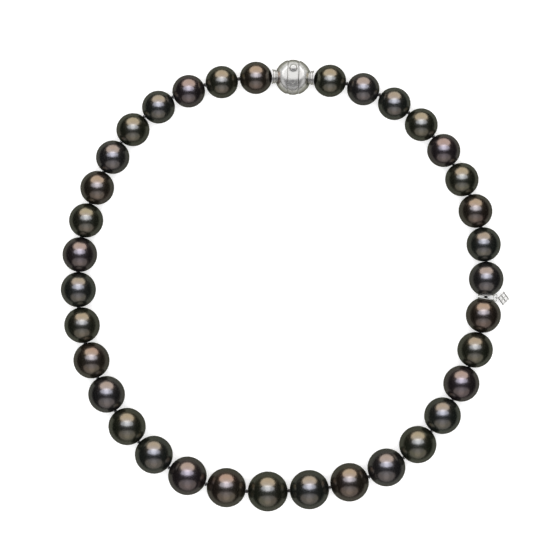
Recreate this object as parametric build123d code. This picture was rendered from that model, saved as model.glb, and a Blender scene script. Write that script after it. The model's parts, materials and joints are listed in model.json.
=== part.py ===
from build123d import *
import os
from math import copysign, cos, pi, radians, sin, sqrt

# A graduated strand of black pearls, knotted on one length of silk and closed by a ball clasp with a
# push button. An openwork drop hangs from two thin rings on the wearer's left side of the strand.
# Millimetres, +Z up. The strand lies closed on a table at z = 0, its clasp towards +Y, and the origin is
# the middle of the loop at the height of the table.

# Pearls and silk
pearl_count = 35
front_pearl_d = 14.0
end_pearl_d = 11.35
graduation = 1.6        # power of the taper from the front pearl to the clasp
silk_d = 0.7
silk_clearance = 0.15   # around the silk in a drill hole
knot_lap = 0.25         # how far a knot reaches over the edge of a drill hole
knot_gap = 0.42         # mean space that a knot holds between two pearls
knot_gap_swing = 0.31   # knots are looser at the clasp and the front, tighter at the sides
knot_slack = 0.06       # knots are thinner than their space by this
collar_gap = 0.45       # space that the knots beside the collars fill

# Route of the closed loop: a superellipse with two small waves
loop_ratio = 0.9715     # width over depth
loop_power = 2.2
loop_waves = [(3, 0.0073, 14.4), (6, 0.0078, 2.3)]   # order, share of the radius, direction in degrees
clasp_turn = 87.44      # direction of the clasp from the middle of the loop, in degrees
clasp_heading = -2.0    # direction in which the clasp points, in degrees from +X

# Ball clasp, in its own frame: X along the strand, Z out of the button
ball_d = 12.6
shell_wall = 0.9
band_width = 3.95
band_recess = 0.15
parting_gap = 0.06
web_thickness = 0.6
boss_wall = 0.63        # around a collar's seat
boss_depth = 1.75       # from the ball's surface in to the inner face of a boss
fit_gap = 0.02          # radial space in a soldered or pressed seat
button_lean = 28.5      # degrees from straight up, away from the middle of the loop

# Ribbed collars between the ball and the pearls
seat_depth = 0.94       # from the ball's surface in to the bottom of the collar's seat
collar_stand = 1.045    # space between the ball and the pearl next to it
collar_bore_d = 2.0
spigot_wall = 0.35
cup_gap = 0.62          # space between a pearl and the cup of its collar
rib_width = 0.75
rib_ds = [4.5, 4.8, 5.25]
groove_d = 4.0
end_knot_clearance = 0.1
end_knot_thickness = 0.6

# Tongue and its housing
housing_width = 5.0
housing_height = 3.2
housing_wall = 0.35
housing_start = -3.5
window_clearance = 0.3  # around the stem in the housing's window
tongue_thickness = 0.4
tongue_clearance = 0.1  # under the tongue
tongue_play = 0.2       # beside the tongue and at its tip
foot_thickness = 0.4
foot_height = 1.85
rivet_d = 0.8
rivet_head_d = 1.3
rivet_head = 0.3
rivet_spacing = 2.2
rivet_rise = 1.15       # from the underside of the tongue
leaf_thickness = 0.28
leaf_inset = 0.35       # from the edges of the tongue, at its sides and its tip
leaf_rise = 17.0        # degrees
leaf_length = 4.2
leaf_roll_d = 0.6
nib_height = 0.18
nib_length = 0.3

# Push button
button_d = 2.84
button_sink = 0.3       # from the ball's surface in to the middle of the button
button_skirt = 1.25     # from the button's middle down to its flat underside
button_travel = 0.5
stem_d = 1.0
stem_clearance = 0.05
foot_clearance = 0.05
button_clearance = 0.08
guide_wall = 0.15
guide_rim = 0.05        # how far the guide stands above the band
guide_floor = 0.7
retainer_d = 2.0
retainer_thickness = 0.3
retainer_gap = 0.05
spring_wire_d = 0.16
spring_mean_d = 1.7
spring_turns = 3
spring_slack = 0.17     # what is left between the turns with the button pressed

# Rings, link and openwork drop
charm_knot = 10         # the knot that carries the rings, counted from the tongue's side
charm_gap = 0.5
ring_mean_r = 2.7
ring_wire_d = 0.4
ring_touch = 0.03
eyelet_mean_r = 0.55
eyelet_bite = 0.3       # how far the wires of an eyelet and its ring run into each other
eyelet_wire_d = 0.3
charm_fall = 35.0       # degrees below level, from the silk to the eyelets
link_wire_d = 0.3
link_width = 2.5        # between wire centres, along the silk
link_length = 1.5
drop_length = 4.9
drop_width = 4.7
drop_thickness = 0.45
drop_bar = 0.42
drop_eye_mean_r = 0.5
drop_lift = 0.25        # the lowest corner of the drop clears the table by this

# Limits between which the loop's size and the turn from knot to knot are searched for
size_search = (0.9, 1.3)    # of the radius of a circle as long as the strand
turn_search = (0.01, 0.6)   # radians

os.makedirs("parts", exist_ok=True)
last_place = pearl_count // 2
drill_d = silk_d + 2 * silk_clearance
knot_d = drill_d + 2 * knot_lap
ball_r = ball_d / 2
boss_reach = ball_r - boss_depth      # from the middle of the ball, as are the next two
collar_seat = ball_r - seat_depth
clasp_half = ball_r + collar_stand + end_pearl_d / 2


def pearl_d(number):
    places = abs(number - (last_place + 1))
    return end_pearl_d + (front_pearl_d - end_pearl_d) * (1 - places / last_place) ** graduation


def gap(knot):
    if knot == charm_knot:
        return charm_gap
    if knot in (1, pearl_count + 1):
        return collar_gap
    places = knot - (pearl_count + 2) / 2
    return knot_gap + knot_gap_swing * cos(4 * pi * places / pearl_count)


def loop_point(turn, size):
    wave = 1 + sum(share * cos(order * (turn - radians(to))) for order, share, to in loop_waves)
    x = copysign(abs(cos(turn)) ** (2 / loop_power), cos(turn)) * loop_ratio
    y = copysign(abs(sin(turn)) ** (2 / loop_power), sin(turn))
    return Vector(x, y) * size * wave


def knot_span(number):
    """Distance between the two knots beside a pearl."""
    return pearl_d(number) + (gap(number) + gap(number + 1)) / 2


def bisect(too_far, low, high, rounds=50):
    for _ in range(rounds):
        middle = (low + high) / 2
        if too_far(middle):
            high = middle
        else:
            low = middle
    return (low + high) / 2


def lay_strand(size):
    """Knots in plan, from the tongue's collar round to the ball's, on a loop of the given size."""
    turn = radians(clasp_turn)
    middle = loop_point(turn, size)
    along = Vector(1, 0).rotate(Axis.Z, clasp_heading)
    knots = [middle + along * (clasp_half - (pearl_d(1) + gap(1)) / 2)]
    for number in range(1, pearl_count):
        here, span = turn, knot_span(number)
        turn -= bisect(lambda step: (loop_point(here - step, size) - knots[-1]).length > span, *turn_search)
        knots.append(loop_point(turn, size))
    end = middle - along * (clasp_half - (pearl_d(pearl_count) + gap(pearl_count + 1)) / 2)
    return middle, along, knots, end


def leaves_a_gap(size):
    _, along, knots, end = lay_strand(size)
    back = end - knots[-1]
    return copysign(back.length, back.dot(along)) > knot_span(pearl_count)


circle_r = sum(knot_span(number) for number in range(1, pearl_count + 1)) / (2 * pi)
loop_size = bisect(leaves_a_gap, *[circle_r * share for share in size_search])
clasp_plan, clasp_along, knot_plan, knot_end = lay_strand(loop_size)
heights = [pearl_d(max(1, min(number, pearl_count))) / 2 for number in range(pearl_count + 2)]
knots = [
    Vector(place.X, place.Y, (heights[i] + heights[i + 1]) / 2)
    for i, place in enumerate(knot_plan + [knot_end])
]
clasp_centre = Vector(clasp_plan.X, clasp_plan.Y, ball_r)
clasp_place = Pos(*clasp_centre) * Rot(0, 0, clasp_heading) * Rot(-button_lean, 0, 0)
upright_place = Pos(*clasp_centre) * Rot(0, 0, clasp_heading)


def knot(number):
    return knots[number - 1]


def run_direction(number):
    """Unit vector along a pearl's drill hole, away from the tongue."""
    return (knot(number + 1) - knot(number)).normalized()


def pearl_centre(number):
    """On the drill hole in plan, and a radius above the table."""
    place = knot(number) + run_direction(number) * ((pearl_d(number) + gap(number)) / 2)
    return Vector(place.X, place.Y, pearl_d(number) / 2)


def rod(start, end, diameter):
    """Cylinder between two points."""
    run = end - start
    return Plane(origin=start, z_dir=run) * Cylinder(
        diameter / 2, run.length, align=(Align.CENTER, Align.CENTER, Align.MIN)
    )


def rod_x(diameter, low, high):
    return rod(Vector(low, 0, 0), Vector(high, 0, 0), diameter)


def rod_z(diameter, low, high):
    return rod(Vector(0, 0, low), Vector(0, 0, high), diameter)


def block(x, y, z):
    """Box from pairs of low and high values."""
    low = (x[0], y[0], z[0])
    return Pos(*low) * Box(x[1] - x[0], y[1] - y[0], z[1] - z[0], align=(Align.MIN, Align.MIN, Align.MIN))


def field(x, y):
    """Rectangle from pairs of low and high values."""
    return Pos((x[0] + x[1]) / 2, (y[0] + y[1]) / 2) * Rectangle(x[1] - x[0], y[1] - y[0])


def turned(profile):
    """Solid of revolution about X."""
    return revolve(profile, axis=Axis.X)


def mirrored(shape):
    return shape.mirror(Plane.YZ)


# Pearls
def make_pearl(number):
    radius = pearl_d(number) / 2
    profile = Circle(radius) & field((-radius, radius), (drill_d / 2, radius))
    across = run_direction(number).cross(Vector(0, 0, 1))
    return Plane(origin=pearl_centre(number), x_dir=run_direction(number), z_dir=across) * turned(profile)


# Silk: straight inside each pearl, turning inside each knot
def make_knot(number):
    before = run_direction(number - 1) if number > 1 else clasp_along
    after = run_direction(number) if number <= pearl_count else clasp_along
    along = (before + after).normalized()
    thickness = gap(number) - knot_slack
    slab = Cylinder(knot_d / 2, thickness)
    return Plane(origin=knot(number), z_dir=along) * (slab & Sphere(knot_d / 2))


def end_knot_start(side):
    return clasp_centre + clasp_along * side * (boss_reach - end_knot_thickness)


def make_silk():
    inner_ends = [end_knot_start(1), end_knot_start(-1)]
    line = [inner_ends[0]] + knots + [inner_ends[1]]
    runs = [rod(line[i], line[i + 1], silk_d) for i in range(len(line) - 1)]
    end_knots = [
        rod(end_knot_start(side), end_knot_start(side) + clasp_along * side * (end_knot_thickness - fit_gap),
            end_knot_d)
        for side in (1, -1)
    ]
    between = [make_knot(number) for number in range(1, pearl_count + 2)]
    silk = runs[0].fuse(*runs[1:], *between, *end_knots)
    return silk


# Ball clasp
cap_face = band_width / 2 + parting_gap
cap_web_face = cap_face + web_thickness
seat_d = rib_ds[0] + 2 * fit_gap
boss_d = seat_d + 2 * boss_wall
spigot_d = collar_bore_d + 2 * spigot_wall
end_knot_d = collar_bore_d - 2 * end_knot_clearance
inner_half_width = housing_width / 2 - housing_wall
inner_half_height = housing_height / 2 - housing_wall
tongue_width = 2 * (inner_half_width - tongue_play)
tongue_tip = housing_start + tongue_play
tongue_bottom = -inner_half_height + tongue_clearance
tongue_top = tongue_bottom + tongue_thickness
rivet_height = tongue_bottom + rivet_rise
button_centre = ball_r - button_sink
button_underside = button_centre - button_skirt
pocket_d = button_d + 2 * button_clearance
pocket_floor = button_underside - button_travel - spring_turns * spring_wire_d - spring_slack
guide_d = pocket_d + 2 * guide_wall
guide_bottom = pocket_floor - guide_floor


def cap_profile(start):
    """Half section of a hollow end of the ball, x over start, with the boss that holds the collar."""
    wall = Circle(ball_r) - Circle(ball_r - shell_wall)
    boss = Circle(ball_r) & field((boss_reach, ball_r), (0, boss_d / 2))
    profile = (wall + boss) & field((start, ball_r), (0, ball_r))
    profile -= field((collar_seat, ball_r), (0, seat_d / 2))
    return profile - field((0, ball_r), (0, spigot_d / 2 + fit_gap))


def make_tongue_cap():
    web = Circle(ball_r) & field((cap_face, cap_web_face), (0, ball_r))
    slot = block(
        (cap_face, cap_web_face),
        (-tongue_width / 2 - fit_gap, tongue_width / 2 + fit_gap),
        (tongue_bottom - fit_gap, tongue_top + fit_gap),
    )
    return turned(cap_profile(cap_face) + web) - slot - rivets(rivet_d + 2 * fit_gap)


def rivets(shank_d, head_d=0):
    solids = Part()
    for side in (-1, 1):
        shank = rod_x(shank_d, cap_face, cap_web_face + foot_thickness + fit_gap)
        if head_d:
            head_start = cap_web_face + foot_thickness + fit_gap
            shank += rod_x(head_d, head_start, head_start + rivet_head)
        solids += Pos(0, side * rivet_spacing / 2, rivet_height) * shank
    return solids


def make_collar():
    """Ribbed collar for the +X end, cupped for the next pearl."""
    core_end = clasp_half - pearl_d(1) / 2
    profile = field((boss_reach, collar_seat), (0, spigot_d / 2))
    profile += field((collar_seat, core_end), (0, groove_d / 2))
    for place, diameter in enumerate(rib_ds):
        middle = collar_seat + (place + 0.5) * rib_width
        top = (diameter - rib_width) / 2
        profile += field((middle - rib_width / 2, middle + rib_width / 2), (0, top))
        profile += Pos(middle, top) * Circle(rib_width / 2)
    profile -= Pos(clasp_half, 0) * Circle(pearl_d(1) / 2 + cup_gap)
    return turned(profile - field((0, clasp_half), (-ball_r, collar_bore_d / 2)))


def make_band():
    half = band_width / 2
    profile = Circle(ball_r - band_recess) & field((-half, half), (0, ball_r))
    profile -= field((-half, half - web_thickness), (0, ball_r - shell_wall - band_recess))
    return turned(profile) - housing_body(fit_gap) - rod_z(guide_d + 2 * fit_gap, 0, ball_d)


def housing_body(grow=0.0):
    y = housing_width / 2 + grow
    z = housing_height / 2 + grow
    return block((housing_start, band_width / 2), (-y, y), (-z, z))


def make_housing():
    y = (-inner_half_width, inner_half_width)
    inside = block((housing_start, band_width / 2), y, (-inner_half_height, inner_half_height))
    return housing_body() - inside - rod_z(stem_d + 2 * window_clearance, 0, housing_height)


def make_tongue_base():
    y = (-tongue_width / 2, tongue_width / 2)
    strip = block((tongue_tip, cap_web_face + fit_gap), y, (tongue_bottom, tongue_top))
    foot_x = (cap_web_face + fit_gap, cap_web_face + fit_gap + foot_thickness)
    foot = block(foot_x, y, (tongue_bottom, tongue_bottom + foot_height))
    return strip + foot - rivets(rivet_d + 2 * fit_gap)


leaf_width = tongue_width - 2 * leaf_inset
leaf_pivot = Vector(tongue_tip + leaf_inset, 0, tongue_top + leaf_roll_d / 2 + fit_gap)


def make_leaf():
    y = (-leaf_width / 2, leaf_width / 2)
    strip = block((0, leaf_length), y, (-leaf_thickness / 2, leaf_thickness / 2))
    nib = block((leaf_length - nib_length, leaf_length), y, (0, leaf_thickness / 2 + nib_height))
    roll = rod(Vector(0, y[0], 0), Vector(0, y[1], 0), leaf_roll_d)
    return Pos(*leaf_pivot) * Rot(0, -leaf_rise, 0) * (strip + nib + roll)


# The rounded end of the stem stands just clear of the sloping leaf.
leaf_top = leaf_pivot.Z + (-leaf_pivot.X * sin(radians(leaf_rise)) + leaf_thickness / 2) / cos(radians(leaf_rise))
stem_end = leaf_top + (stem_d / 2 + foot_clearance) / cos(radians(leaf_rise))


def make_button():
    head = Pos(0, 0, button_centre) * Sphere(button_d / 2) - rod_z(ball_d, 0, button_underside)
    tip = Pos(0, 0, stem_end) * Sphere(stem_d / 2)
    return head + rod_z(stem_d, stem_end, button_centre) + tip


def make_guide():
    rim = Sphere(ball_r - band_recess + guide_rim)
    guide = rod_z(guide_d, guide_bottom, ball_d) & rim
    return guide - rod_z(pocket_d, pocket_floor, ball_d) - rod_z(stem_d + 2 * stem_clearance, 0, ball_r)


def make_retainer():
    top = guide_bottom - retainer_gap
    washer = rod_z(retainer_d, top - retainer_thickness, top)
    return washer - rod_z(stem_d + 2 * fit_gap, 0, ball_r)


def make_spring():
    room = button_underside - pocket_floor - spring_wire_d - 2 * fit_gap
    path = Pos(0, 0, pocket_floor + spring_wire_d / 2 + fit_gap) * Helix(
        pitch=room / spring_turns, height=room, radius=spring_mean_d / 2
    )
    section = Plane(origin=path @ 0, z_dir=path % 0) * Circle(spring_wire_d / 2)
    return sweep(section, path=path)


# Rings, link and drop
eyelet_reach = ring_mean_r + eyelet_mean_r + (ring_wire_d + eyelet_wire_d) / 2 - eyelet_bite
charm_centre = knot(charm_knot)
silk_way = (run_direction(charm_knot - 1) + run_direction(charm_knot)).normalized()
outward = Vector(-silk_way.Y, silk_way.X, 0).normalized()


def fall_direction(degrees_down):
    return outward * cos(radians(degrees_down)) - Vector(0, 0, 1) * sin(radians(degrees_down))


eyelet_centre = charm_centre + fall_direction(charm_fall) * eyelet_reach
link_end = eyelet_centre + fall_direction(charm_fall) * link_length
drop_fall = link_end.Z - drop_lift - drop_thickness / 2
drop_reach = drop_eye_mean_r + drop_length
drop_way = (
    outward * sqrt(1 - (drop_fall / drop_reach) ** 2) - Vector(0, 0, 1) * (drop_fall / drop_reach)
)


def make_ring(pearl, toward):
    """Ring that rests on a pearl, around the silk, with an eyelet on its outer side."""
    along = run_direction(pearl) * toward
    rest = sqrt((pearl_d(pearl) / 2 + ring_wire_d / 2 + ring_touch) ** 2 - ring_mean_r**2)
    middle = pearl_centre(pearl) + along * rest
    ring = Plane(origin=middle, z_dir=along) * Torus(ring_mean_r, ring_wire_d / 2)
    side = fall_direction(charm_fall)
    side = (side - along * side.dot(along)).normalized()
    eyelet = Plane(origin=middle + side * eyelet_reach, z_dir=along) * Torus(eyelet_mean_r, eyelet_wire_d / 2)
    return ring + eyelet


def make_link():
    """Rounded link through both eyelets, with one straight bar in them and one in the drop's eye."""
    across = silk_way.cross(fall_direction(charm_fall))
    plane = Plane(origin=(eyelet_centre + link_end) * 0.5, x_dir=silk_way, z_dir=across)
    path = plane * RectangleRounded(link_width, link_length, link_length * 0.3).wire()
    section = Plane(origin=path @ 0, z_dir=path % 0) * Circle(link_wire_d / 2)
    return sweep(section, path=path)


def make_drop():
    """Square lattice standing on its corner, with an eye at the top."""
    def lozenge(inset):
        a, b = drop_length / 2 - inset * 1.42, drop_width / 2 - inset * 1.42
        return Polygon((-a, 0), (0, b), (a, 0), (0, -b), align=None)

    lattice = lozenge(0) - lozenge(drop_bar)
    side = sqrt(drop_length**2 + drop_width**2) / 2
    for turn in (-1, 1):
        lattice += Rot(0, 0, turn * 45) * Rectangle(side - drop_bar, drop_bar)
    lattice = Pos(drop_eye_mean_r + drop_length / 2, 0) * lattice
    plate = extrude(lattice, drop_thickness / 2, both=True)
    eye = Rot(90, 0, 0) * Torus(drop_eye_mean_r, link_wire_d / 2)
    place = Plane(origin=link_end, x_dir=drop_way, z_dir=drop_way.cross(silk_way))
    return place * (plate + eye)


def save(node, shape, place=None):
    export_step(place * shape if place else shape, f"parts/{node}.step")


for number in range(1, pearl_count + 1):
    save(f"pearl_{number:02d}", make_pearl(number))
save("silk_thread", make_silk())
save("ball_end_cap", mirrored(turned(cap_profile(band_width / 2))), clasp_place)
save("ball_band", make_band(), clasp_place)
save("tongue_housing", make_housing(), clasp_place)
save("button_guide", make_guide(), clasp_place)
save("push_button", make_button(), clasp_place)
save("button_retainer", make_retainer(), clasp_place)
save("button_spring", make_spring(), clasp_place)
save("tongue_cap", make_tongue_cap(), clasp_place)
save("tongue_base", make_tongue_base(), clasp_place)
save("tongue_rivets", rivets(rivet_d, rivet_head_d), clasp_place)
save("tongue_leaf", make_leaf(), clasp_place)
save("collar_right", make_collar(), upright_place)
save("collar_left", mirrored(make_collar()), upright_place)
save("charm_ring_upper", make_ring(charm_knot - 1, 1))
save("charm_ring_lower", make_ring(charm_knot, -1))
save("charm_link", make_link())
save("charm_drop", make_drop())
strand_length = sum((knots[i + 1] - knots[i]).length for i in range(pearl_count)) + (knots[0] - knots[-1]).length
print(f"loop size {loop_size:.2f}, closed length {strand_length:.1f}")
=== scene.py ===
import json
import math
import bmesh
import bpy
from mathutils import Matrix, Vector


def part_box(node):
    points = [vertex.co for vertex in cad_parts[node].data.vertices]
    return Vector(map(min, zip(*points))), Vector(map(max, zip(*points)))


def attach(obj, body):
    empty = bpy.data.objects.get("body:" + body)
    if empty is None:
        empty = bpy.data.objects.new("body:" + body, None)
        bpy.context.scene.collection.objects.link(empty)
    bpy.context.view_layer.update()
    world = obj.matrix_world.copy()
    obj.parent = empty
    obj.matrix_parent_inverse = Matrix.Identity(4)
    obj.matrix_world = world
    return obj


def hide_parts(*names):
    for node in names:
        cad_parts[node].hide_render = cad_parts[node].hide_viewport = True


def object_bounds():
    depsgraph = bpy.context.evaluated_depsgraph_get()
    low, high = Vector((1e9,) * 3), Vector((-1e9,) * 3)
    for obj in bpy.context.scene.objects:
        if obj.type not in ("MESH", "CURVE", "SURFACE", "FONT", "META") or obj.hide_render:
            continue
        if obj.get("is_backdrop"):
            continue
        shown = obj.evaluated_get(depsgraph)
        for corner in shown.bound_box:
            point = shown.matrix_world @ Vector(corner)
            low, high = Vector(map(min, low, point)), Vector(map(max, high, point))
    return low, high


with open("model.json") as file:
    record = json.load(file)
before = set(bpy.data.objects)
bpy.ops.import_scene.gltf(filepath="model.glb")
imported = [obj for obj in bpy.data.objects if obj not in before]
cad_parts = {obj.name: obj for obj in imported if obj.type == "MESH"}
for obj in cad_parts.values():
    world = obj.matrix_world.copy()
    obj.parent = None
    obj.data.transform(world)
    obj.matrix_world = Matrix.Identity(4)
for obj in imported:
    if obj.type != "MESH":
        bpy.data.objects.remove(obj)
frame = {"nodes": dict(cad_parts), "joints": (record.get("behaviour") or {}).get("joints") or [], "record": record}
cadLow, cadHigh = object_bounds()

mm = 0.001
shownPearls = [name for name in sorted(frame["nodes"]) if name.startswith("pearl_")]


def toLinear(hexColour):
    # sRGB hex to the linear values that shaders take
    parts = [int(hexColour[i:i + 2], 16) / 255 for i in (1, 3, 5)]
    return tuple(c / 12.92 if c <= 0.04045 else ((c + 0.055) / 1.055) ** 2.4 for c in parts) + (1.0,)


def addNode(tree, kind, settings=None, links=None, values=None):
    # one node, its settings, the values of its sockets, and what feeds them
    node = tree.nodes.new(kind)
    for key, value in (settings or {}).items():
        setattr(node, key, value)
    for key, value in (values or {}).items():
        node.inputs[key].default_value = value
    for key, source in (links or {}).items():
        tree.links.new(source, node.inputs[key])
    return node


def newMaterial(name):
    material = bpy.data.materials.new(name)
    material.use_nodes = True
    material.node_tree.nodes.clear()
    return material, material.node_tree


def finishMaterial(tree, shader):
    output = addNode(tree, "ShaderNodeOutputMaterial")
    tree.links.new(shader.outputs[0], output.inputs["Surface"])


def setRamp(node, stops, mode="LINEAR"):
    ramp = node.color_ramp
    ramp.interpolation = mode
    while len(ramp.elements) > 1:
        ramp.elements.remove(ramp.elements[-1])
    for i, (place, colour) in enumerate(stops):
        element = ramp.elements[0] if i == 0 else ramp.elements.new(place)
        element.position = place
        element.color = colour if not isinstance(colour, str) else toLinear(colour)


def useOnly(piece):
    if bpy.context.object and bpy.context.object.mode != "OBJECT":
        bpy.ops.object.mode_set(mode="OBJECT")
    bpy.ops.object.select_all(action="DESELECT")
    piece.select_set(True)
    bpy.context.view_layer.objects.active = piece


def applyPlace(piece):
    useOnly(piece)
    bpy.ops.object.transform_apply(location=True, rotation=True, scale=True)


def applyModifiers(piece):
    useOnly(piece)
    for modifier in list(piece.modifiers):
        bpy.ops.object.modifier_apply(modifier=modifier.name)


def pick(piece, test, kind="faces"):
    # selects faces, edges or vertices of the piece in edit mode by a test in its own space
    shape = bmesh.from_edit_mesh(piece.data)
    bpy.ops.mesh.select_all(action="DESELECT")
    chosen = 0
    for item in getattr(shape, kind):
        if test(item):
            item.select_set(True)
            chosen += 1
    shape.select_flush_mode()
    bmesh.update_edit_mesh(piece.data)
    return chosen


def turnFromX(direction):
    # rotation that carries +X onto a direction and keeps +Y level
    along = direction.normalized()
    side = Vector((0, 0, 1)).cross(along).normalized()
    up = along.cross(side)
    return Matrix((along, side, up)).transposed()


def copyTo(master, name, rotation, scale, place):
    # a copy with its own mesh, its place in its vertices and its object at the origin
    piece = master.copy()
    piece.data = master.data.copy()
    piece.name = piece.data.name = name
    bpy.context.collection.objects.link(piece)
    matrix = Matrix.Translation(place) @ rotation.to_4x4() @ Matrix.Diagonal(Vector((*scale, 1)))
    piece.data.transform(matrix)
    return piece


cameraLook = {
    "centre": Vector((-0.41 * mm, 1.19 * mm, 6.5 * mm)),   # what lies in the middle of the picture
    "frameWidth": 196.0 * mm,
    "lens": 180.0,
}
camera = bpy.data.objects.new("camera", bpy.data.cameras.new("camera"))
bpy.context.collection.objects.link(camera)
camera.data.lens = cameraLook["lens"]
distance = cameraLook["frameWidth"] * cameraLook["lens"] / camera.data.sensor_width
camera.location = cameraLook["centre"] + Vector((0, 0, distance))
camera.data.clip_start, camera.data.clip_end = 0.01, 20.0
bpy.context.scene.camera = camera
bpy.context.scene.view_settings.view_transform = "Standard"
print("camera set, straight above the loop")


# The strand is lit from above and behind by a large soft box, with a dimmer card in front. Nacre throws back
# a twentieth of the light and polished gold most of it, so each gets boxes of its own strength.
studio = {
    "distance": 1.3,
    "surround": "#101010",
    "backdrop": "#f4f4f4",
    "floorFill": 3.0,
}
# tilt from straight up towards the back, span of tilt, half width (all in degrees), colour, strength
boxesForNacre = {
    "overheadCore": (19, 34, 15, "#f4f1ff", 3.5),
    "overhead": (20, 35, 38, "#f2f1ff", 4.2),
    "backCore": (59, 58, 17, "#ffeadd", 4.4),
    "back": (59, 62, 38, "#ffece2", 4.6),
    "frontCore": (-52, 50, 15, "#f4e6e6", 0.8),
    "front": (-57, 72, 44, "#efe6e6", 1.15),
}
boxesForGold = {
    "upperWall": (34, 100, 70, "#ffffff", 1.0),
    "lowerWall": (-50, 68, 70, "#f6f6f8", 0.25),
}
# walls round the horizon for the gold alone: where each stands, span of tilt, half width, colour, strength
wallsForGold = {
    "backWall": (0, 44, 44, "#ffffff", 0.62),
    "leftWall": (90, 44, 44, "#ffffff", 0.5),
    "frontWall": (180, 44, 44, "#f6f6f8", 0.3),
    "rightWall": (270, 44, 44, "#ffffff", 0.5),
}
pearlGroup = bpy.data.collections.new("litAsNacre")
goldGroup = bpy.data.collections.new("litAsGold")


def addBox(name, tilt, span, halfWidth, colour, radiance, group, around=0.0):
    away = studio["distance"]
    lamp = bpy.data.lights.new(name, "AREA")
    lamp.shape = "ELLIPSE" if group == pearlGroup else "RECTANGLE"   # round-cornered glow on the nacre
    lamp.size = 2 * away * math.tan(math.radians(halfWidth))
    lamp.size_y = 2 * away * math.tan(math.radians(span / 2))
    lamp.color = toLinear(colour)[:3]
    share = math.pi / 4 if lamp.shape == "ELLIPSE" else 1.0
    lamp.energy = radiance * math.pi * lamp.size * lamp.size_y * share
    box = bpy.data.objects.new(name, lamp)
    bpy.context.collection.objects.link(box)
    turn = math.radians(tilt)
    aside = math.radians(around)
    level = away * math.sin(turn)
    box.location = (-level * math.sin(aside), level * math.cos(aside), away * math.cos(turn))
    box.rotation_euler = (-turn, 0, aside)
    box.visible_camera = False
    if group:
        box.light_linking.receiver_collection = group
    return box


for boxName, box in boxesForNacre.items():
    addBox(boxName, *box, pearlGroup).visible_diffuse = False
for boxName, box in boxesForGold.items():
    addBox(boxName, *box, goldGroup)
for wallName, (around, span, halfWidth, colour, radiance) in wallsForGold.items():
    addBox(wallName, 88, span, halfWidth, colour, radiance, goldGroup, around)

fill = addBox("floorFill", 0, 80, 40, "#ffffff", studio["floorFill"], None)
fill.visible_glossy = False

world = bpy.data.worlds.new("studio")
bpy.context.scene.world = world
world.use_nodes = True
tree = world.node_tree
tree.nodes.clear()
direction = addNode(tree, "ShaderNodeTexCoord").outputs["Generated"]
height = addNode(tree, "ShaderNodeSeparateXYZ", links={0: direction}).outputs["Z"]
share = addNode(tree, "ShaderNodeMapRange", values={"From Min": -1.0, "From Max": 1.0},
                links={"Value": height})
room = addNode(tree, "ShaderNodeValToRGB", links={0: share.outputs[0]})
# straight down on the left, the horizon in the middle; the strand shades the table near itself
setRamp(room, [
    (0.0, "#65655a"), (0.1, "#7a7a6e"), (0.21, "#9a9a90"), (0.36, "#b6b6ae"), (0.41, "#707069"),
    (0.46, "#161616"), (0.5, "#0d0d0d"), (0.6, studio["surround"]), (1.0, studio["surround"]),
])
seen = addNode(tree, "ShaderNodeLightPath").outputs["Is Camera Ray"]
inRoom = addNode(tree, "ShaderNodeBackground", links={"Color": room.outputs[0]})
inPicture = addNode(tree, "ShaderNodeBackground",
                    values={"Color": toLinear(studio["backdrop"]), "Strength": 1.0})
both = addNode(tree, "ShaderNodeMixShader", links={0: seen, 1: inRoom.outputs[0], 2: inPicture.outputs[0]})
addNode(tree, "ShaderNodeOutputWorld", links={"Surface": both.outputs[0]})
print("light set")

# White table: matt, glows a little so that the strand throws hardly any shadow
bpy.ops.object.select_all(action="DESELECT")
bpy.ops.mesh.primitive_plane_add(size=6.0, location=(0, 0, cadLow.z))
floor = bpy.context.object
floor.name = "table"
tablePaper, tree = newMaterial("whiteMattPaper")
shader = addNode(tree, "ShaderNodeBsdfPrincipled", values={
    "Base Color": toLinear("#f2f2f2"), "Roughness": 0.9, "Specular IOR Level": 0.1,
    "Emission Color": (1, 1, 1, 1), "Emission Strength": 0.42,
})
finishMaterial(tree, shader)
floor.data.materials.append(tablePaper)
floor.visible_glossy = False
floor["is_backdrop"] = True
print("table laid")


# Cultured black nacre: stacked aragonite over a dark body. A near-black ground, a satin glow whose colour
# turns from the middle to the rim, and a thin glossy top.
nacreTones = {
    # body, then the tint of its shine in the middle, on the shoulder and at the rim
    "nacre_peacock": ("#0f1211", "#eef2f4", "#f0ead2", "#cdd6bd"),
    "nacre_aubergine": ("#120f11", "#f2eaf2", "#f7e6dc", "#dccdc6"),
    "nacre_green": ("#10120d", "#eff2e6", "#f3ecc9", "#d2d8b0"),
    "nacre_grey": ("#111112", "#f0f1f5", "#f2e9e0", "#d2d0c8"),
    "nacre_bronze": ("#13100d", "#f4ece6", "#fae4c8", "#dccdb2"),
}
nacreLook = {"ior": 1.82, "roughness": 0.25, "coat": 0.4, "coatRoughness": 0.13, "pit": 0.35, "swell": 3.2}


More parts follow.
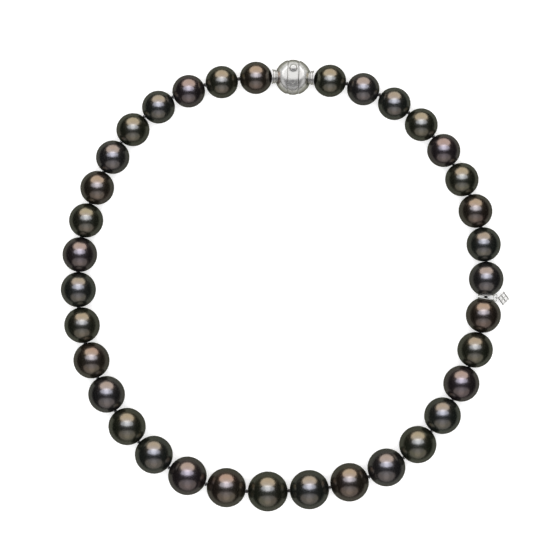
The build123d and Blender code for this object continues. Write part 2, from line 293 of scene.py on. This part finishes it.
def makeNacre(slotName):
    body, middle, shoulder, rim = nacreTones[slotName]
    material, tree = newMaterial("culturedNacre_" + slotName[6:])
    point = addNode(tree, "ShaderNodeTexCoord").outputs["Object"]
    facing = addNode(tree, "ShaderNodeLayerWeight", values={"Blend": 0.5}).outputs["Facing"]
    shine = addNode(tree, "ShaderNodeValToRGB", links={0: facing})
    setRamp(shine, [(0.0, middle), (0.04, middle), (0.16, shoulder), (0.42, rim), (1.0, rim)])
    # slow drift of hue from pearl to pearl and across each one, about 9 mm
    drift = addNode(tree, "ShaderNodeTexNoise", values={"Scale": 1 / (9 * mm), "Detail": 2.0},
                    links={"Vector": point})
    swing = addNode(tree, "ShaderNodeMapRange",
                    values={"From Min": 0.3, "From Max": 0.7, "To Min": 0.47, "To Max": 0.53},
                    links={"Value": drift.outputs[0]})
    tint = addNode(tree, "ShaderNodeHueSaturation",
                   links={"Hue": swing.outputs[0], "Color": shine.outputs[0]})
    ground = addNode(tree, "ShaderNodeHueSaturation", values={"Color": toLinear(body)},
                     links={"Hue": swing.outputs[0]})
    # growth pits, a few tenths of a millimetre wide, and a faint swell of the surface
    pits = addNode(tree, "ShaderNodeTexVoronoi", values={"Scale": 1 / (2.6 * mm), "Randomness": 1.0},
                   links={"Vector": point})
    pitDepth = addNode(tree, "ShaderNodeMapRange", values={"From Min": 0.0, "From Max": 0.09},
                       links={"Value": pits.outputs["Distance"]})
    swell = addNode(tree, "ShaderNodeTexNoise",
                    values={"Scale": 1 / (nacreLook["swell"] * mm), "Detail": 1.0},
                    links={"Vector": point})
    swellBump = addNode(tree, "ShaderNodeBump", values={"Strength": 0.12, "Distance": 0.1 * mm},
                        links={"Height": swell.outputs[0]})
    pitBump = addNode(tree, "ShaderNodeBump", values={"Strength": nacreLook["pit"], "Distance": 0.03 * mm},
                      links={"Height": pitDepth.outputs[0], "Normal": swellBump.outputs[0]})
    shader = addNode(tree, "ShaderNodeBsdfPrincipled", values={
        "Roughness": nacreLook["roughness"], "IOR": nacreLook["ior"],
        "Coat Weight": nacreLook["coat"], "Coat Roughness": nacreLook["coatRoughness"], "Coat IOR": 1.5,
    }, links={
        "Base Color": ground.outputs[0], "Specular Tint": tint.outputs[0], "Normal": pitBump.outputs[0],
    })
    finishMaterial(tree, shader)
    return material


nacre = {slotName: makeNacre(slotName) for slotName in nacreTones}


def makeWhiteGold():
    # Rhodium-plated white gold, polished: bright and neutral, with hairlines from wear
    material, tree = newMaterial("polishedWhiteGold")
    point = addNode(tree, "ShaderNodeTexCoord").outputs["Object"]
    stretched = addNode(tree, "ShaderNodeMapping", values={"Scale": (0.25, 1.0, 1.0)},
                        links={"Vector": point})
    hairlines = addNode(tree, "ShaderNodeTexNoise", values={"Scale": 1 / (0.25 * mm), "Detail": 3.0},
                        links={"Vector": stretched.outputs[0]})
    rough = addNode(tree, "ShaderNodeMapRange", values={"To Min": 0.2, "To Max": 0.3},
                    links={"Value": hairlines.outputs[0]})
    bump = addNode(tree, "ShaderNodeBump", values={"Strength": 0.05, "Distance": 0.01 * mm},
                   links={"Height": hairlines.outputs[0]})
    shader = addNode(tree, "ShaderNodeBsdfPrincipled", values={
        "Base Color": toLinear("#e6e5e3"), "Metallic": 1.0,
    }, links={"Roughness": rough.outputs[0], "Normal": bump.outputs[0]})
    finishMaterial(tree, shader)
    return material


def makeSpringSteel():
    # Drawn spring steel: grey, slightly rough along the wire
    material, tree = newMaterial("drawnSpringSteel")
    point = addNode(tree, "ShaderNodeTexCoord").outputs["Object"]
    grain = addNode(tree, "ShaderNodeTexNoise", values={"Scale": 1 / (0.1 * mm)}, links={"Vector": point})
    rough = addNode(tree, "ShaderNodeMapRange", values={"To Min": 0.25, "To Max": 0.4},
                    links={"Value": grain.outputs[0]})
    shader = addNode(tree, "ShaderNodeBsdfPrincipled", values={
        "Base Color": toLinear("#a9aaad"), "Metallic": 1.0,
    }, links={"Roughness": rough.outputs[0]})
    finishMaterial(tree, shader)
    return material


def makeSilk():
    # Black silk thread, twisted: dull, with a soft sheen on its plies
    material, tree = newMaterial("twistedSilk")
    point = addNode(tree, "ShaderNodeTexCoord").outputs["Object"]
    plies = addNode(tree, "ShaderNodeTexWave", values={"Scale": 1 / (0.6 * mm), "Distortion": 2.0},
                    links={"Vector": point})
    # black thread, painted darker in the grooves between the plies where the bump sinks and lighter on their
    # crests: painted shade
    blackWithGrooveShade = addNode(tree, "ShaderNodeValToRGB", links={0: plies.outputs["Fac"]})
    setRamp(blackWithGrooveShade, [(0.0, "#0a0a0a"), (1.0, "#191817")])
    bump = addNode(tree, "ShaderNodeBump", values={"Strength": 0.6, "Distance": 0.05 * mm},
                   links={"Height": plies.outputs["Fac"]})
    shader = addNode(tree, "ShaderNodeBsdfPrincipled", values={
        "Roughness": 0.75, "Sheen Weight": 0.3, "Sheen Roughness": 0.4,
    }, links={"Base Color": blackWithGrooveShade.outputs[0], "Normal": bump.outputs[0]})
    finishMaterial(tree, shader)
    return material


whiteGold, springSteel, silk = makeWhiteGold(), makeSpringSteel(), makeSilk()
print("materials made")

slotOf = {}
for part in frame["record"]["subparts"]:
    slotOf[part["node"]] = part["material_slot"]


pearlForm = {"segments": 48, "rings": 32, "drillShare": 0.078, "drillDepth": 0.14, "lip": 0.03}
knotSpot = {int(j["name"][5:]): Vector(j["pos_m"]) for j in frame["joints"] if j["name"].startswith("knot_")}
pearlCentre, pearlRadius, pearlRun = {}, {}, {}
for name in shownPearls:
    low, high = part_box(name)
    low, high = Vector(low), Vector(high)
    number = int(name[6:])
    pearlCentre[number] = (low + high) / 2
    pearlRadius[number] = (high.z - low.z) / 2
openGap = (pearlCentre[18] - pearlCentre[17]).normalized()
knotSpot[18] = (pearlCentre[17] + openGap * pearlRadius[17] + pearlCentre[18] - openGap * pearlRadius[18]) / 2
for number in pearlCentre:
    pearlRun[number] = (knotSpot[number + 1] - knotSpot[number]).normalized()


def makeMasterPearl():
    # a unit pearl drilled along X: the hole's lip is rounded and the hole is closed inside
    bpy.ops.object.select_all(action="DESELECT")
    bpy.ops.mesh.primitive_uv_sphere_add(
        segments=pearlForm["segments"], ring_count=pearlForm["rings"], radius=1, rotation=(0, math.pi / 2, 0))
    pearl = bpy.context.object
    applyPlace(pearl)
    bpy.ops.object.mode_set(mode="EDIT")
    for side in (1, -1):
        poleFaces = math.cos(math.pi / pearlForm["rings"]) - 0.001
        pick(pearl, lambda face: face.calc_center_median().x * side > poleFaces)
        shape = bmesh.from_edit_mesh(pearl.data)
        ringRadius = math.sin(math.pi / pearlForm["rings"])
        lipShare = pearlForm["drillShare"] + pearlForm["lip"]
        for share, sink in ((lipShare, 0.0), (pearlForm["drillShare"], 0.012)):
            bpy.ops.mesh.extrude_region_move(TRANSFORM_OT_translate={"value": (-side * sink, 0, 0)})
            scale = share / ringRadius if share < ringRadius else 1.0
            bpy.ops.transform.resize(value=(1, scale, scale), center_override=(side, 0, 0))
            ringRadius = min(share, ringRadius)
        inwards = (-side * pearlForm["drillDepth"], 0, 0)
        bpy.ops.mesh.extrude_region_move(TRANSFORM_OT_translate={"value": inwards})
    bpy.ops.object.mode_set(mode="OBJECT")
    smooth = pearl.modifiers.new("smooth", "SUBSURF")
    smooth.levels = smooth.render_levels = 1
    applyModifiers(pearl)
    bpy.ops.object.shade_smooth()
    return pearl


masterPearl = makeMasterPearl()
grow = 1 / max(v.co.z for v in masterPearl.data.vertices)
for name in shownPearls:
    number = int(name[6:])
    radius = pearlRadius[number] * grow
    pearl = copyTo(masterPearl, "nacre_" + name, turnFromX(pearlRun[number]), (radius, radius, radius),
                   pearlCentre[number])
    pearl.data.materials.append(nacre[slotOf[name]])
    pearlGroup.objects.link(pearl)
    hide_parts(name)
    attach(pearl, name)
bpy.data.objects.remove(masterPearl)
print("pearls strung:", len(shownPearls))

def joinPieces(pieces, name):
    bpy.ops.object.select_all(action="DESELECT")
    for piece in pieces:
        piece.select_set(True)
    bpy.context.view_layer.objects.active = pieces[0]
    if len(pieces) > 1:
        bpy.ops.object.join()
    joined = bpy.context.object
    applyPlace(joined)
    joined.name = joined.data.name = name
    return joined


def addRod(start, end, radius, sides=24):
    way = end - start
    bpy.ops.object.select_all(action="DESELECT")
    bpy.ops.mesh.primitive_cylinder_add(
        vertices=sides, radius=radius, depth=way.length, location=(start + end) / 2,
        rotation=way.to_track_quat("Z", "Y").to_euler())
    return bpy.context.object


def addBall(place, radius):
    bpy.ops.object.select_all(action="DESELECT")
    bpy.ops.mesh.primitive_uv_sphere_add(segments=20, ring_count=12, radius=radius, location=place)
    return bpy.context.object


def turnProfile(name, profile, segments=128):
    # solid of revolution about X from a closed outline of (along, radius) in mm; radius 0 closes on the axis
    touch = 0.0002
    outline = [(along, max(radius, touch)) for along, radius in profile]
    along, wide = outline[0]
    bpy.ops.object.select_all(action="DESELECT")
    bpy.ops.mesh.primitive_circle_add(vertices=segments, radius=wide * mm, location=(along * mm, 0, 0),
                                      rotation=(0, math.pi / 2, 0))
    piece = bpy.context.object
    applyPlace(piece)
    bpy.ops.object.mode_set(mode="EDIT")
    bpy.ops.mesh.select_all(action="SELECT")
    for nextAlong, nextWide in outline[1:] + outline[:1]:
        bpy.ops.mesh.extrude_region_move(TRANSFORM_OT_translate={"value": ((nextAlong - along) * mm, 0, 0)})
        grown = nextWide / wide
        bpy.ops.transform.resize(value=(1, grown, grown), center_override=(nextAlong * mm, 0, 0))
        along, wide = nextAlong, nextWide
    bpy.ops.mesh.select_all(action="SELECT")
    bpy.ops.mesh.remove_doubles(threshold=0.001 * mm)
    bpy.ops.mesh.delete_loose()
    bpy.ops.mesh.select_all(action="SELECT")
    bpy.ops.mesh.normals_make_consistent(inside=False)
    bpy.ops.object.mode_set(mode="OBJECT")
    piece.name = piece.data.name = name
    return piece


def cutAway(piece, tools):
    cutter = joinPieces(tools, "cutter")
    cut = piece.modifiers.new("cut", "BOOLEAN")
    cut.operation, cut.solver, cut.object, cut.use_self = "DIFFERENCE", "EXACT", cutter, True
    applyModifiers(piece)
    bpy.data.objects.remove(cutter)


def finishPiece(piece, material, group, replaced, body, angle=30):
    piece.data.materials.clear()
    piece.data.materials.append(material)
    useOnly(piece)
    bpy.ops.object.shade_smooth_by_angle(angle=math.radians(angle))
    group.objects.link(piece)
    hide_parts(replaced)
    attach(piece, body)


def arc(radius, fromAlong, toAlong, steps):
    turns = [math.acos(fromAlong / radius), math.acos(toAlong / radius)]
    shares = [i / steps for i in range(steps + 1)]
    angles = [turns[0] + (turns[1] - turns[0]) * share for share in shares]
    return [(radius * math.cos(angle), radius * math.sin(angle)) for angle in angles]


# Silk: one knot between each two pearls, wound twice round, with the thread's ends going into the drill holes
knotForm = {"reach": 0.72, "wrap": 0.19, "thread": 0.3, "stub": 1.3, "farStub": 0.4, "slack": 0.08}


def makeMasterKnot():
    # its thread runs deep into the pearl on +X, which it turns with, and only a little way into the other one
    pieces = [addRod(Vector((-knotForm["farStub"] * mm, 0, 0)), Vector((knotForm["stub"] * mm, 0, 0)),
                     knotForm["thread"] * mm)]
    core = addBall((0, 0, 0), knotForm["reach"] * mm * 0.86)
    core.scale = (0.62, 1, 1)
    pieces.append(core)
    for lean in (1, -1):
        bpy.ops.object.select_all(action="DESELECT")
        bpy.ops.mesh.primitive_torus_add(
            major_radius=(knotForm["reach"] - knotForm["wrap"]) * mm, minor_radius=knotForm["wrap"] * mm,
            major_segments=32, minor_segments=10, location=(lean * 0.1 * mm, 0, 0),
            rotation=(0, math.pi / 2, lean * math.radians(12)))
        pieces.append(bpy.context.object)
    return joinPieces(pieces, "knot")


masterKnot = makeMasterKnot()
knotWide = 2 * (0.1 + knotForm["wrap"]) * mm
lastKnot = len(shownPearls) + 1
for number in range(1, lastKnot + 1):
    before = pearlRun.get(number - 1, pearlRun.get(number))
    after = pearlRun.get(number, before)
    if 1 < number < lastKnot:
        apart = (pearlCentre[number] - pearlCentre[number - 1]).length
        space = apart - pearlRadius[number] - pearlRadius[number - 1]
    else:
        nearest = pearlCentre[min(number, lastKnot - 1)]
        space = 2 * ((knotSpot[number] - nearest).length - pearlRadius[min(number, lastKnot - 1)])
    rider = number if number < 18 else number - 1
    towards = 1 if rider == number else -1
    squeeze = min(1.0, max(0.35, (space - knotForm["slack"] * mm) / knotWide))
    knot = copyTo(masterKnot, f"silkKnot_{number:02d}", turnFromX((before + after) * towards),
                  (squeeze, 1, 1), knotSpot[number])
    finishPiece(knot, silk, pearlGroup, "silk_thread", f"pearl_{rider:02d}", 60)
bpy.data.objects.remove(masterKnot)
print("silk knotted:", lastKnot)

# Ball clasp, in its own frame: X along the strand, Z out of the button
clasp = {
    "ball": 6.3, "band": 6.15, "shell": 0.9, "halfBand": 1.975, "parting": 0.06, "web": 0.6, "edge": 0.32,
    "seat": 2.27, "seatFloor": 5.36, "spigot": 1.37, "bossReach": 4.55, "boss": 2.9,
    "groove": 1.42, "grooveWide": 0.16, "grooveDeep": 0.14,
    "housing": (5.04, 3.24), "pocket": 1.67, "slot": (3.94, 0.44),
    "slotMiddle": -0.95, "rivet": 0.42, "rivetSide": 1.1,
    "lozenges": 4, "lozengeFirst": 47.0, "lozengeStep": 15.5, "lozengeDeep": 0.26,
}
joint = {entry["name"]: entry for entry in frame["joints"]}
claspX = Vector(joint["clasp_slide"]["axis"]).normalized()
claspZ = -Vector(joint["button_press"]["axis"]).normalized()
claspTurn = Matrix((claspX, claspZ.cross(claspX), claspZ)).transposed()
low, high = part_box("ball_band")
claspCentre = (Vector(low) + Vector(high)) / 2


def toClasp(piece, mirror=1):
    flip = Matrix.Diagonal((mirror, 1, 1, 1))
    piece.data.transform(Matrix.Translation(claspCentre) @ claspTurn.to_4x4() @ flip)
    if mirror < 0:
        piece.data.flip_normals()


def addBlock(low, high):
    bpy.ops.object.select_all(action="DESELECT")
    middle = [(a + b) / 2 * mm for a, b in zip(low, high)]
    bpy.ops.mesh.primitive_cube_add(size=1, location=middle, scale=[(b - a) * mm for a, b in zip(low, high)])
    return bpy.context.object


def capOutline(start, web):
    # half section of a hollow end of the ball; its parting edge is rounded so that a fine dark line shows
    ball, edge = clasp["ball"], clasp["edge"]
    seatEdge = math.sqrt(ball ** 2 - clasp["seat"] ** 2)
    inner = ball - clasp["shell"]
    rimRadius = math.sqrt(ball ** 2 - start ** 2)
    outline = [(start, rimRadius - edge), (start + edge * 0.3, rimRadius - edge * 0.32)]
    outline += arc(ball, start + edge, seatEdge, 28)
    outline += [(clasp["seatFloor"], clasp["seat"]), (clasp["seatFloor"], clasp["spigot"]),
                (clasp["bossReach"], clasp["spigot"]), (clasp["bossReach"], clasp["boss"])]
    bossEdge = math.sqrt(inner ** 2 - clasp["boss"] ** 2) - 0.02
    if web:
        face = start + clasp["web"]
        return outline + arc(inner, bossEdge, face, 12) + [(face, 0), (start, 0)]
    return outline + arc(inner, bossEdge, start, 14)


endCap = turnProfile("polishedEndCap", capOutline(clasp["halfBand"], False))
toClasp(endCap, -1)
finishPiece(endCap, whiteGold, goldGroup, "ball_end_cap", "clasp_ball")

tongueFace = clasp["halfBand"] + clasp["parting"]
tongueCap = turnProfile("polishedTongueCap", capOutline(tongueFace, True))
slotY, slotZ = clasp["slot"]
openings = [addBlock((tongueFace - 0.1, -slotY / 2, clasp["slotMiddle"] - slotZ / 2),
                     (tongueFace + clasp["web"] + 0.1, slotY / 2, clasp["slotMiddle"] + slotZ / 2))]
for side in (-1, 1):
    y = side * clasp["rivetSide"] * mm
    openings.append(addRod(Vector(((tongueFace - 0.1) * mm, y, 0)),
                           Vector(((tongueFace + clasp["web"] + 0.1) * mm, y, 0)), clasp["rivet"] * mm))
cutAway(tongueCap, openings)
toClasp(tongueCap)
finishPiece(tongueCap, whiteGold, goldGroup, "tongue_cap", "tongue")


def makeBand():
    # the belt of the ball: two border lines all round, and a row of lozenges below the button
    half, radius, edge = clasp["halfBand"], clasp["band"], clasp["edge"]
    bore = radius - clasp["shell"]
    rimRadius = math.sqrt(radius ** 2 - half ** 2)
    deep = radius - clasp["grooveDeep"]
    near, far = clasp["groove"] - clasp["grooveWide"] / 2, clasp["groove"] + clasp["grooveWide"] / 2
    outline = [(-half, bore), (-half, rimRadius - edge), (-half + edge * 0.3, rimRadius - edge * 0.3)]
    outline += arc(radius, -half + edge, -far, 3) + arc(deep, -far, -near, 2)
    outline += arc(radius, -near, near, 16) + arc(deep, near, far, 2) + arc(radius, far, half - edge, 3)
    outline += [(half - edge * 0.3, rimRadius - edge * 0.3), (half, rimRadius - edge), (half, 0.8)]
    outline += [(half - clasp["web"], 0.8), (half - clasp["web"], bore)]
    band = turnProfile("engravedBand", outline)
    wide, tall = clasp["housing"]
    tools = [addBlock((-3.5, -wide / 2, -tall / 2), (3.0, wide / 2, tall / 2)),
             addRod(Vector((0, 0, 2.5 * mm)), Vector((0, 0, 8 * mm)), clasp["pocket"] * mm, 64)]
    cutAway(band, tools)
    lozenges = []
    for place in range(clasp["lozenges"]):
        turn = math.radians(clasp["lozengeFirst"] + place * clasp["lozengeStep"])
        outwards = Vector((0, -math.sin(turn), math.cos(turn)))
        bpy.ops.object.select_all(action="DESELECT")
        bpy.ops.mesh.primitive_cylinder_add(vertices=4, radius=0.76 * mm, depth=2 * mm, rotation=(turn, 0, 0),
                                            location=outwards * (radius - clasp["lozengeDeep"] + 1) * mm)
        lozenge = bpy.context.object
        lozenge.scale = (1.35, 1, 1)
        lozenges.append(lozenge)
    cutAway(band, lozenges)
    return band


band = makeBand()
toClasp(band)
finishPiece(band, whiteGold, goldGroup, "ball_band", "clasp_ball")
print("clasp turned and engraved")

# Openwork drop: a square lattice of round wire on its corner, with a granule at every crossing
dropForm = {"eye": 0.5, "eyeWire": 0.15, "length": 4.9, "width": 4.7, "wire": 0.22, "granule": 0.33}


def makeDrop():
    eye = Vector(joint["charm_drop_swing"]["pos_m"])
    across = Vector(joint["charm_drop_swing"]["axis"]).normalized()
    points = [corner.co for corner in frame["nodes"]["charm_drop"].data.vertices]
    spread = max((point - eye).length for point in points)
    tips = [point for point in points if (point - eye).length > spread - 0.02 * mm]
    down = (sum(tips, Vector()) / len(tips) - eye).normalized()
    halfLength, halfWidth = dropForm["length"] / 2 - 0.3, dropForm["width"] / 2 - 0.3
    middle = eye + down * (dropForm["eye"] + dropForm["length"] / 2) * mm

    def spot(u, v):
        return middle + down * (u + v) / 2 * halfLength * mm + across * (u - v) / 2 * halfWidth * mm

    pieces = []
    for line in (-1, 0, 1):
        pieces.append(addRod(spot(line, -1), spot(line, 1), dropForm["wire"] * mm, 12))
        pieces.append(addRod(spot(-1, line), spot(1, line), dropForm["wire"] * mm, 12))
        for cross in (-1, 0, 1):
            pieces.append(addBall(spot(line, cross), dropForm["granule"] * mm))
    bpy.ops.object.select_all(action="DESELECT")
    bpy.ops.mesh.primitive_torus_add(
        major_radius=dropForm["eye"] * mm, minor_radius=dropForm["eyeWire"] * mm,
        major_segments=32, minor_segments=10, location=eye, rotation=across.to_track_quat("Z", "Y").to_euler())
    pieces.append(bpy.context.object)
    pieces.append(addRod(eye + down * dropForm["eye"] * mm, spot(-1, -1), dropForm["eyeWire"] * mm, 12))
    return joinPieces(pieces, "latticeDrop")


finishPiece(makeDrop(), whiteGold, goldGroup, "charm_drop", "charm_drop", 40)
print("drop made")

replaced = shownPearls + ["silk_thread", "ball_end_cap", "tongue_cap", "ball_band", "charm_drop"]
for name, node in frame["nodes"].items():
    if name in replaced:
        continue
    finish = {"white_gold": whiteGold, "spring_steel": springSteel}[slotOf[name]]
    for materialSlot in node.material_slots:
        materialSlot.material = finish
    goldGroup.objects.link(node)

low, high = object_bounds()
